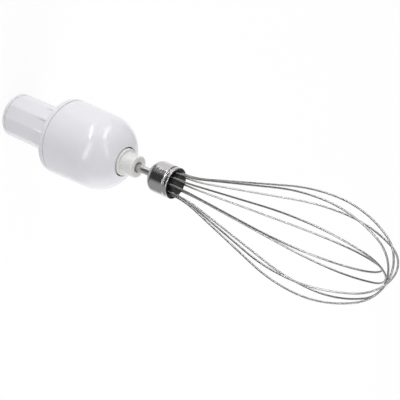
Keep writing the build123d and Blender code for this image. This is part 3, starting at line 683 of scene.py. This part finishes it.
# %% [markdown]
# ## The wire loops
# A loop is a chain of straight runs and tangent arcs in a plane through the axis. Walking the chain is the same as
# adding up short steps whose heading changes steadily on an arc: heading = start + length / radius. The tube
# round it needs two directions square to the path: one in the loop's plane and one across it.

# %% Wire path
z_leg, z_flare, z_belly, z_tip = 127.7, 138.0, 240.2, 280.6
flare_overshoot, root_share, nose_share = 1.33, 0.38, 0.78
step_mm, fewest_steps = 0.9, 4


def loop_line(half_width, tip_lead):
    """Points (along the axis, away from it) of one loop, and its headings, from the root to the other root.

    Legs, root bend, straight flare, belly bend, side, nose, and the same backwards. The nose and side are two
    circles: the side's radius is (reach^2 + width^2 - 2 reach nose) / (2 (width - nose)).
    """
    rise, run = half_width - leg_r, z_belly - z_flare
    slope = flare_overshoot * np.arctan(rise / run)
    bends = (run - rise / np.tan(slope)) / np.tan(slope / 2)
    straight = (rise - bends * (1 - np.cos(slope))) / np.sin(slope)
    reach = z_tip + tip_lead - wire_r - z_belly
    nose = nose_share * half_width
    side = (reach**2 + half_width**2 - 2 * reach * nose) / (2 * (half_width - nose))
    bend = np.arcsin((reach - nose) / (side - nose))
    half = [
        (z_flare - z_leg, 0.0), (root_share * bends * slope, slope), (straight, 0.0),
        ((1 - root_share) * bends * slope, -slope), (side * bend, -bend), (nose * (np.pi / 2 - bend), bend - np.pi / 2),
    ]
    chain = half + half[::-1]
    counts = [max(fewest_steps, int(length / step_mm)) for length, _ in chain]
    lengths = np.concatenate([np.full(count, length / count) for count, (length, _) in zip(counts, chain)])
    turns = np.concatenate([np.full(count, angle / count) for count, (_, angle) in zip(counts, chain)])
    heading = np.cumsum(turns)
    middle = heading - turns / 2
    steps = lengths[:, None] * np.stack([np.cos(middle), np.sin(middle)], -1) * np.sinc(turns / 2 / np.pi)[:, None]
    points = np.vstack([[z_leg, leg_r], np.array([z_leg, leg_r]) + np.cumsum(steps, 0)])
    headings = np.concatenate([[0.0], heading])
    return points, headings, np.concatenate([[0.0], np.cumsum(lengths)])


# %% Wires
sides_round, map_mm = 20, 100
round_angle = np.linspace(0, 2 * np.pi, sides_round, endpoint=False)
along_axis = np.array([0, 0, 1.0])
for number, (direction, half_width, tip_lead) in enumerate(loops):
    line, heading, travelled = loop_line(half_width, tip_lead)
    out = np.array([np.cos(np.radians(direction)), np.sin(np.radians(direction)), 0.0])
    across = np.array([-out[1], out[0], 0.0])
    centre = line[:, :1] * along_axis + line[:, 1:] * out
    square = -np.sin(heading)[:, None] * along_axis + np.cos(heading)[:, None] * out
    rings = centre[:, None] + wire_r * (
        np.cos(round_angle)[None, :, None] * square[:, None] + np.sin(round_angle)[None, :, None] * across
    )
    uv = np.broadcast_arrays(round_angle[None] / (2 * np.pi), travelled[:, None] / map_mm)
    uv = np.stack(uv, -1).reshape(-1, 2)
    wire = skin(f"wire_loop_{number + 1}", rings, wire_steel, uv=uv)
    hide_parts(f"whisk_wire_{number + 1}")
    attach(wire, "whisk")
    print("loop", number + 1, "wire length", round(travelled[-1], 1), "end", np.round(line[-1], 2))

# %% [markdown]
# ## Hidden pieces
# The gears, pins, bushes and the drive coupling keep their CAD shapes. A CAD mesh is loose triangles, so for the
# pieces that can be seen from behind a merged copy is made, which shades smoothly across its curved faces. The
# rest only get their finish.

# %% Finishes of the hidden pieces
kept_finish = {
    "input_washer": ground_steel, "input_circlip": ground_steel, "input_shaft": ground_steel,
    "sun_pinion": ground_steel, "planet_pin_1": ground_steel, "planet_pin_2": ground_steel,
    "planet_pin_3": ground_steel, "output_washer": ground_steel, "snap_ring": ground_steel,
    "input_bush": bronze, "output_bush": bronze, "joint_ring": dark_rubber,
    "ring_gear": acetal, "planet_carrier": acetal, "planet_gear_1": acetal, "planet_gear_2": acetal,
    "planet_gear_3": acetal, "input_coupling": black_plastic,
}


merge_distance, crease_degrees = 1e-6, 30


def merged_copy(name, node, material):
    """A copy of a CAD node with its doubled points merged, smooth except across edges sharper than 30 degrees."""
    mesh = nodes[node].data.copy()
    made = bpy.data.objects.new(name, mesh)
    bpy.context.scene.collection.objects.link(made)
    work = bmesh.new()
    work.from_mesh(mesh)
    bmesh.ops.remove_doubles(work, verts=work.verts, dist=merge_distance)
    work.to_mesh(mesh)
    work.free()
    mesh.polygons.foreach_set("use_smooth", np.ones(len(mesh.polygons), bool))
    mesh.set_sharp_from_angle(angle=np.radians(crease_degrees))
    mesh.materials.clear()
    mesh.materials.append(material)
    return made


for node, material in kept_finish.items():
    nodes[node].data.materials.clear()
    nodes[node].data.materials.append(material)

for node, body, slot in (
    ("input_coupling", "input", "black_plastic"), ("input_shaft", "input", "ground_steel"),
    ("snap_ring", "whisk", "ground_steel"), ("input_bush", "housing", "bronze"),
    ("input_circlip", "input", "ground_steel"),
):
    piece = merged_copy(f"{node}_smooth", node, kept_finish[node])
    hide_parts(node)
    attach(piece, body)

# %% [markdown]
# ## The studio
# A white part on white needs care: its sides must stay a little darker than the background. The floor shows as
# plain white to the camera, but keeps some of the part's shadow. Steel needs something dark to reflect, so what
# mirrors see is a room of its own, drawn below.

# %% Floor
floor_half, floor_z = 4, -0.0002
paper_glow, paper_grey = 0.86, 0.16
floor_mesh = bpy.data.meshes.new("floor")
corners = [(-floor_half, -floor_half), (floor_half, -floor_half), (floor_half, floor_half), (-floor_half, floor_half)]
floor_mesh.from_pydata([(*corner, floor_z) for corner in corners], [], [(0, 1, 2, 3)])
floor = bpy.data.objects.new("floor", floor_mesh)
bpy.context.scene.collection.objects.link(floor)
floor_paint = bpy.data.materials.new("pale_floor")
floor_paint.use_nodes = True
tree = floor_paint.node_tree
tree.nodes.remove(tree.nodes["Principled BSDF"])
paper = Finish(tree)
by_camera = paper.node("ShaderNodeLightPath", out="Is Camera Ray")
seen = by_camera.most(paper.node("ShaderNodeLightPath", out="Is Transmission Ray"))
matt = paper.node("ShaderNodeBsdfDiffuse", None, {"Color": rgb(0.9, 0.9, 0.9)})
shaded = paper.node("ShaderNodeBsdfDiffuse", None, {"Color": rgb(paper_grey, paper_grey, paper_grey)})
glow = paper.node("ShaderNodeEmission", None, {"Color": rgb(1, 1, 1), "Strength": paper_glow})
both = paper.node("ShaderNodeAddShader", None, {0: glow, 1: shaded})
mixed = paper.node("ShaderNodeMixShader", None, {0: seen, 1: matt, 2: both})
tree.links.new(mixed.socket, tree.nodes["Material Output"].inputs["Surface"])
floor_mesh.materials.append(floor_paint)
floor.visible_glossy = False

# %% [markdown]
# The room is a formula of the direction alone. Three dot products say how far a direction points up, right and
# towards the photographer, as they stood when the part lay on its side. Steps of those numbers draw a pale ceiling
# that slopes down to the front, a pale wall at the back and a table, with a dark wall behind the photographer. On it
# hang four leaning strip lamps: they are the four streaks on the bell's dome and the edges of light on the cup.

# %% Room
world = bpy.data.worlds.new("studio_room")
bpy.context.scene.world = world
world.use_nodes = True
room = Finish(world.node_tree)
direction = room.node("ShaderNodeTexCoord", out="Generated")
up = room.dot(direction, photo_up)
right = room.dot(direction, photo_right)
front = room.dot(direction, towards_camera)


def band(value, low, high, soft):
    """1 between low and high, 0 outside, with soft edges."""
    return room.step(value, low - soft, low) * (1 - room.step(value, high, high + soft))


def window(slant, right_edges, up_edges, soft, level, nearest=0.0):
    """A bright leaning bar of directions, on the photographer's side only. Its middle goes right by slant per up."""
    shape = band(right - up * slant, *right_edges, soft) * band(up, *up_edges, soft)
    return shape * level * room.step(front, nearest, nearest + 0.05)


ceiling = 0.85 * room.step(up - front * 0.15, 0.89, 0.97)
slope = 0.32 * room.step(up, 0.4, 0.85) * room.step(front, 0.1, 0.3)
left_wall = 0.18 * (1 - room.step(front, 0.0, 0.2))
dark_wall = 0.05
dark_corner = 1 - 0.85 * room.step(right, 0.42, 0.58) * room.step(up, 0.0, 0.2)
back_wall = 0.95 * (1 - room.step(front - up * 0.25, -0.85, -0.5)) * dark_corner
open_side = room.step(right, -0.55, -0.25) * (1 - room.step(front, -0.3, 0.1))
table = (0.38 + 0.75 * open_side) * (1 - room.step(up, -0.38, 0.02))
mirror_room = ceiling.most(slope).most(left_wall).most(dark_wall).most(back_wall).most(table)

# Plastic mirrors more at a glancing angle, so the upper lamps grow brighter downwards to keep their streaks even.
upper_level = (0.85 - up).most(0.0) * 16.0 + 6.5
lower_level = 5.3 - up.most(0.0) * 8.0
lamp_left = window(0.31, (-0.62, -0.52), (0.56, 0.94), 0.03, upper_level * 0.95, 0.1)
lamp_right = window(0.23, (0.14, 0.225), (0.55, 0.93), 0.03, upper_level * 0.9, 0.08)
lamp_low_left = window(0.43, (-0.57, -0.42), (-0.38, 0.38), 0.05, lower_level, 0.5)
lamp_low_right = window(-0.29, (0.385, 0.525), (-0.36, 0.38), 0.05, 2.7, 0.4)
mirrors = mirror_room + lamp_left + lamp_right + lamp_low_left + lamp_low_right
camera_ray = room.node("ShaderNodeLightPath", out="Is Camera Ray")
glossy_ray = room.node("ShaderNodeLightPath", out="Is Glossy Ray")
plain = 0.61
light = camera_ray * 1.0 + (1 - camera_ray) * (glossy_ray * mirrors + (1 - glossy_ray) * plain)
background = world.node_tree.nodes["Background"]
background.inputs["Color"].default_value = rgb(1, 1, 1)
world.node_tree.links.new(light.socket, background.inputs["Strength"])

# %% [markdown]
# The soft light itself is a large lamp from the photograph's upper side, which gives the bell its pale top, and
# weaker ones from below and from the lower right, like the light that a white table throws back.

# %% Lamps
def softbox(name, place, aim, size, power):
    """A square area lamp that points from place to aim. Mirrors don't see it: the room has lamps of its own."""
    lamp = bpy.data.lights.new(name, "AREA")
    lamp.size = size
    lamp.energy = power
    made = bpy.data.objects.new(name, lamp)
    made.location = place
    made.rotation_euler = (Vector(aim) - Vector(place)).to_track_quat("-Z", "Y").to_euler()
    made.visible_glossy = False
    made.visible_camera = False
    bpy.context.scene.collection.objects.link(made)
    return made


def in_photo(right, up, front):
    """A place given as the photograph shows it: metres to the right, up and towards the photographer."""
    return tuple(photo_right * right + photo_up * up + towards_camera * front + Vector(middle))


middle = (0, 0, 0.1)
lamp_size = 1.0
softbox("upper_softbox", in_photo(0.1, 1.25, 0.8), middle, lamp_size, 14)
softbox("lower_fill", in_photo(0.0, -1.3, -0.3), middle, lamp_size, 7)
softbox("right_fill", in_photo(1.0, -1.0, 0.3), middle, lamp_size, 2.5)
bpy.context.scene.view_settings.view_transform = "Standard"
